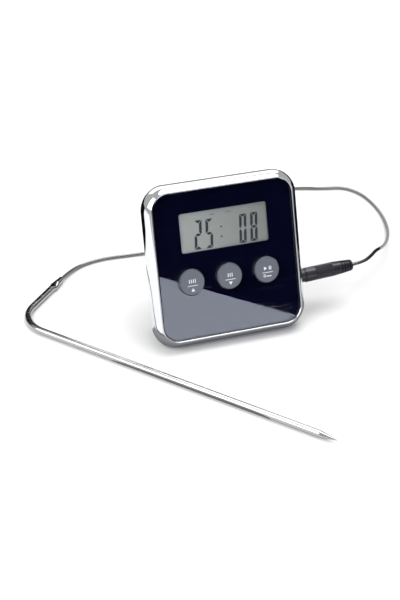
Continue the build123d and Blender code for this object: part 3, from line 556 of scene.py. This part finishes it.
# ---- settings that a user may change
class ProbeTimerLead(bpy.types.PropertyGroup):
    """The braided lead."""

    diameter: bpy.props.FloatProperty(
        name="Diameter", description="Outside of the braid", default=1.5 * MM, subtype="DISTANCE",
        unit="LENGTH"
    )
    length: bpy.props.FloatProperty(
        name="Length", description="Plug to probe", default=0.87, subtype="DISTANCE", unit="LENGTH"
    )


def power(name, description, default):
    """The setting for a lamp's power."""
    return bpy.props.FloatProperty(
        name=name, description=description, default=default, subtype="POWER", unit="POWER"
    )


class ProbeTimerStage(bpy.types.PropertyGroup):
    """The table, the light and the camera."""

    floor_colour: bpy.props.FloatVectorProperty(
        name="Floor", description="Colour of the table", size=3, default=(0.86, 0.86, 0.86), subtype="COLOR",
        min=0, max=1
    )
    fill: bpy.props.FloatProperty(
        name="Fill", description="Strength of the even light all round", default=0.5
    )
    key: power("Key", "Power of the large lamp on the left", 9.0)
    top: power("Top", "Power of the lamp overhead", 8.0)
    back: power("Back", "Power of the lamp behind", 5.0)
    strip: power("Strip", "Power of the low strip lamps in front", 2.2)


class PROBETIMER_OT_case(bpy.types.Operator):
    """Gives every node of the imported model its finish"""

    bl_idname = "probe_timer.case"
    bl_label = "Case and probe finishes"

    def execute(self, context):
        for part in frame["record"]["subparts"]:
            node = frame["nodes"][part["node"]]
            node.data.materials.clear()
            node.data.materials.append(finish(part["material_slot"]))
        for name in ("front_panel", "lcd_glass", "panel_mask"):
            flat = frame["nodes"][name].modifiers.new("flat faces stay flat", "WEIGHTED_NORMAL")
            flat.mode, flat.weight, flat.keep_sharp = "FACE_AREA", 100, False
        behind = frame["nodes"]["panel_mask"].modifiers.new("clear of the glass", "DISPLACE")
        behind.strength, behind.mid_level = -0.01 * MM, 0.0
        return {"FINISHED"}


# ---- the display and the marks: places and sizes on the face, in millimetres
FIGURES = (("2", -11.7, 12.2), ("5", -6.65, 12.1), ("0", 8.7, 11.95), ("8", 13.8, 12.0))
COLON_DOTS = ((-1.05, 14.2), (-1.25, 10.0))
COLON_WIDTH, COLON_HEIGHT = 0.75, 0.8
LEGEND_PLACES, LEGEND_BARS, LEGEND_PITCH = ((-5.6, 20.1), (1.8, 20.2)), 4, 0.62
LEGEND_WIDTH, LEGEND_HEIGHT = 0.34, 0.75
MARK_WIDTH, MARK_HEIGHT, MARK_RISE = 0.36, 1.7, 0.55
RULE_WIDTH, RULE_THICK, RULE_DROP = 4.6, 0.26, 1.4
ARROW_SIZE = 1.45
DOOR_ARROW_UP, DOOR_ARROW_SIZE, DOOR_ARROW_RELIEF, DOOR_ARROW_EDGE = -4.0, 3.2, 0.12, 0.05


class PROBETIMER_OT_display(bpy.types.Operator):
    """Lays the lit segments, the colon and two small legends on the display"""

    bl_idname = "probe_timer.display"
    bl_label = "Display"

    def execute(self, context):
        outlines = [part for figure, x, y in FIGURES for part in digit(figure, x, y)]
        outlines += [bar(x, y, COLON_WIDTH, COLON_HEIGHT) for x, y in COLON_DOTS]
        flat_piece("display_figures", outlines, -LCD_DEPTH, COAT, "display_ink", "case")
        legends = [
            bar(x + step * LEGEND_PITCH, y, LEGEND_WIDTH, LEGEND_HEIGHT)
            for x, y in LEGEND_PLACES
            for step in range(LEGEND_BARS)
        ]
        flat_piece("display_legends", legends, -LCD_DEPTH, COAT, "faint_ink", "case")
        return {"FINISHED"}


class PROBETIMER_OT_marks(bpy.types.Operator):
    """Prints the plain marks on the three buttons"""

    bl_idname = "probe_timer.marks"
    bl_label = "Button marks"

    def execute(self, context):
        rule = bar(0, -RULE_DROP, RULE_WIDTH, RULE_THICK)
        marks = {
            "left": [bar(x, MARK_RISE, MARK_WIDTH, MARK_HEIGHT) for x in (-1.35, -0.45, 0.45, 1.35)]
            + [rule, triangle(0, -3.2, ARROW_SIZE, 1)],
            "middle": [bar(x, MARK_RISE, MARK_WIDTH, MARK_HEIGHT) for x in (-0.9, 0, 0.9)]
            + [rule, triangle(0, -3.0, ARROW_SIZE, -1)],
            "right": [[(-1.5, -0.1), (-1.5, 1.6), (-0.1, 0.75)]]
            + [bar(x, 0.75, 0.4, MARK_HEIGHT) for x in (0.95, 1.65)]
            + [bar(0, -1.1, 4.9, RULE_THICK), bar(0.6, -2.75, 2.2, 0.4)]
            + ring(-1.4, -2.5, 0.62, RULE_THICK),
        }
        for side, outlines in marks.items():
            across, up = BUTTON_PLACES[side]
            placed = [[(x + across, y + up) for x, y in outline] for outline in outlines]
            flat_piece(f"button_mark_{side}", placed, BUTTON_PROUD, COAT, "button_print", f"button_{side}")
        return {"FINISHED"}


class PROBETIMER_OT_door_mark(bpy.types.Operator):
    """Moulds an arrow on the battery door, towards the way it slides"""

    bl_idname = "probe_timer.door_mark"
    bl_label = "Battery door arrow"

    def execute(self, context):
        arrow = [triangle(DOOR_ACROSS, DOOR_ARROW_UP, DOOR_ARROW_SIZE, 1)]
        flat_piece("door_arrow", arrow, -CASE_DEPTH, DOOR_ARROW_RELIEF, "door_mark", "battery_door",
                   outward=-1.0, edge=DOOR_ARROW_EDGE)
        return {"FINISHED"}


class PROBETIMER_OT_lead(bpy.types.Operator):
    """Lays the braided lead from the plug, through its put-away coil, to the probe"""

    bl_idname = "probe_timer.lead"
    bl_label = "Lead"

    def execute(self, context):
        settings = context.scene.probe_timer_lead
        points = lead_route()
        curve = bpy.data.curves.new("lead", "CURVE")
        curve.dimensions = "3D"
        curve.bevel_depth = settings.diameter / 2
        curve.bevel_resolution = 4
        curve.resolution_u = 6
        spline = curve.splines.new("NURBS")
        spline.points.add(len(points) - 1)
        for control, point in zip(spline.points, points):
            control.co = (*(point * MM), 1)
        spline.order_u = 3
        spline.use_endpoint_u = True
        spline.use_smooth = True
        lead = bpy.data.objects.new("lead", curve)
        context.scene.collection.objects.link(lead)
        curve.materials.append(finish("braided_steel"))
        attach(lead, "lead")
        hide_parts("cord_plug_side", "cord_coil", "cord_probe_side")
        return {"FINISHED"}


# ---- the stage, in metres
LAMPS = (
    ("key", (-0.9, -0.25, 0.75), (0, 0, 0.03), (0.9, 0.9)),
    ("top", (0.25, 0.25, 1.1), (0, 0, 0), (0.8, 0.8)),
    ("back", (0.15, 1.1, 0.75), (0, 0, 0.05), (1.6, 0.7)),
)  # the setting for its power, place, aim and size
STRIPS, STRIP_FIRST, STRIP_STEP = 4, (0.344, -1.0, 0.172), (0.0035, 0.0075)
STRIP_SIZE, STRIP_TURN, STRIP_COLOUR = (0.42, 0.12), math.radians(-25.4), (0.82, 0.88, 1.0)
X_AXIS, Y_AXIS, Z_AXIS = (1, 0, 0), (0, 1, 0), (0, 0, 1)
FLAG_BLACK, FLAG_GREY = (0.004, 0.004, 0.006), (0.27, 0.27, 0.28)
FLAGS = (
    ("front_flag", (0.5, -1.25, 0.35), X_AXIS, Z_AXIS, (1.5, 0.8), FLAG_BLACK),
    ("side_flag", (0.085, 0.01, 0.03), Y_AXIS, Z_AXIS, (0.2, 0.06), FLAG_BLACK),
    ("back_flag", (0.25, 0.6, 0.04), X_AXIS, Z_AXIS, (1.6, 0.12), FLAG_BLACK),
    ("corner_flag", (-0.1, 0.06, 0.03), X_AXIS, Z_AXIS, (0.11, 0.06), FLAG_BLACK),
    ("ground_flag", (0.01, -0.03, 0.0004), X_AXIS, Y_AXIS, (0.13, 0.07), FLAG_GREY),
)
TABLE_HALF = 4
CAMERA_LENS, CAMERA_SENSOR, CAMERA_CLIP = 99.945, 36.0, (0.05, 20.0)
CAMERA_PLACE = Vector((-247.773, -526.417, 433.282)) * MM
CAMERA_AXES = (
    (0.929355, -0.363031, 0.067144),
    (0.162984, 0.566624, 0.807696),
    (-0.331264, -0.739693, 0.585763),
)  # right, up and back


def lamp(name, place, aim, size, power):
    """A soft rectangular lamp that faces a point. The camera doesn't see it."""
    light = bpy.data.lights.new(name, "AREA")
    light.shape, light.energy = "RECTANGLE", power
    light.size, light.size_y = size
    made = bpy.data.objects.new(name, light)
    made.location = place
    made.rotation_euler = (Vector(aim) - Vector(place)).to_track_quat("-Z", "Y").to_euler()
    made.visible_camera = False
    bpy.context.scene.collection.objects.link(made)
    return made


def flag(name, place, across, up, size, colour):
    """A dark card that is seen only in reflections and through glass."""
    place, across, up = Vector(place), Vector(across) * size[0] / 2, Vector(up) * size[1] / 2
    corners = [place - across - up, place + across - up, place + across + up, place - across + up]
    data = bpy.data.meshes.new(name)
    data.from_pydata(corners, [], [(0, 1, 2, 3)])
    made = bpy.data.objects.new(name, data)
    material = bpy.data.materials.new(name)
    material.use_nodes = True
    shader = material.node_tree.nodes["Principled BSDF"]
    shader.inputs["Base Color"].default_value = (*colour, 1)
    shader.inputs["Roughness"].default_value = 1.0
    shader.inputs["Specular IOR Level"].default_value = 0.0
    data.materials.append(material)
    bpy.context.scene.collection.objects.link(made)
    made.visible_camera = made.visible_diffuse = made.visible_shadow = False


class PROBETIMER_OT_stage(bpy.types.Operator):
    """Sets the table, the lamps, the dark cards and the camera"""

    bl_idname = "probe_timer.stage"
    bl_label = "Stage"

    def execute(self, context):
        scene = context.scene
        settings = scene.probe_timer_stage
        scene.view_settings.view_transform = "Standard"
        self.table(settings)
        self.surroundings(scene, settings)
        for name, place, aim, size in LAMPS:
            lamp(f"{name}_lamp", place, aim, size, getattr(settings, name))
        self.strips(settings)
        for card in FLAGS:
            flag(*card)
        self.camera(scene)
        return {"FINISHED"}

    def strips(self, settings):
        """Strip lamps, each a little lower than the last, that give a reflected edge its softness."""
        for step in range(STRIPS):
            across, back, up = STRIP_FIRST
            place = Vector((across - STRIP_STEP[0] * step, back, up - STRIP_STEP[1] * step))
            ahead = place + Vector(Y_AXIS)
            strip = lamp(f"strip_lamp_{step}", place, ahead, STRIP_SIZE, settings.strip / STRIPS)
            strip.rotation_euler.rotate_axis("Z", STRIP_TURN)
            strip.data.color = STRIP_COLOUR

    def table(self, settings):
        """A plain pale table top."""
        half = TABLE_HALF
        data = bpy.data.meshes.new("table")
        data.from_pydata([(-half, -half, 0), (half, -half, 0), (half, half, 0), (-half, half, 0)], [],
                         [(0, 1, 2, 3)])
        floor = bpy.data.objects.new("table", data)
        colour = tuple(settings.floor_colour)
        second = tuple(part * 0.99 for part in colour)
        data.materials.append(surface("table_top", colour, second, 0.7, 0.05, bump=0.0, specular=0.1))
        bpy.context.scene.collection.objects.link(floor)

    def surroundings(self, scene, settings):
        """An even light all round, which the camera sees as white."""
        world = bpy.data.worlds.new("studio")
        world.use_nodes = True
        tree = world.node_tree
        even = tree.nodes["Background"]
        even.inputs["Color"].default_value = (1, 1, 1, 1)
        even.inputs["Strength"].default_value = settings.fill
        white = add(tree, "ShaderNodeBackground", (0, -200), inputs={"Color": (1, 1, 1, 1), "Strength": 1.0})
        path = add(tree, "ShaderNodeLightPath", (-300, 300))
        mix = add(tree, "ShaderNodeMixShader", (200, 100))
        tree.links.new(path.outputs["Is Camera Ray"], mix.inputs["Fac"])
        tree.links.new(even.outputs["Background"], mix.inputs[1])
        tree.links.new(white.outputs["Background"], mix.inputs[2])
        tree.links.new(mix.outputs["Shader"], tree.nodes["World Output"].inputs["Surface"])
        scene.world = world

    def camera(self, scene):
        data = bpy.data.cameras.new("camera")
        data.lens, data.sensor_width, data.sensor_fit = CAMERA_LENS, CAMERA_SENSOR, "AUTO"
        data.clip_start, data.clip_end = CAMERA_CLIP
        camera = bpy.data.objects.new("camera", data)
        turn = Matrix(CAMERA_AXES).transposed().to_4x4()
        camera.matrix_world = Matrix.Translation(CAMERA_PLACE) @ turn
        scene.collection.objects.link(camera)
        scene.camera = camera


class PROBETIMER_PT_panel(bpy.types.Panel):
    """The steps, in order, with their settings"""

    bl_label = "Probe timer"
    bl_idname = "PROBETIMER_PT_panel"
    bl_space_type = "VIEW_3D"
    bl_region_type = "UI"
    bl_category = "Probe timer"

    def draw(self, context):
        for group in (context.scene.probe_timer_lead, context.scene.probe_timer_stage):
            for name in group.__annotations__:
                self.layout.prop(group, name)
        for step in STEPS:
            self.layout.operator(step.bl_idname)


STEPS = (
    PROBETIMER_OT_case,
    PROBETIMER_OT_display,
    PROBETIMER_OT_marks,
    PROBETIMER_OT_door_mark,
    PROBETIMER_OT_lead,
    PROBETIMER_OT_stage,
)
CLASSES = (ProbeTimerLead, ProbeTimerStage, *STEPS, PROBETIMER_PT_panel)


def register():
    for kind in CLASSES:
        bpy.utils.register_class(kind)
    bpy.types.Scene.probe_timer_lead = bpy.props.PointerProperty(type=ProbeTimerLead)
    bpy.types.Scene.probe_timer_stage = bpy.props.PointerProperty(type=ProbeTimerStage)


def unregister():
    del bpy.types.Scene.probe_timer_lead
    del bpy.types.Scene.probe_timer_stage
    for kind in reversed(CLASSES):
        bpy.utils.unregister_class(kind)


def main():
    register()
    for step in STEPS:
        group, name = step.bl_idname.split(".")
        getattr(getattr(bpy.ops, group), name)()


if __name__ == "__main__":
    main()
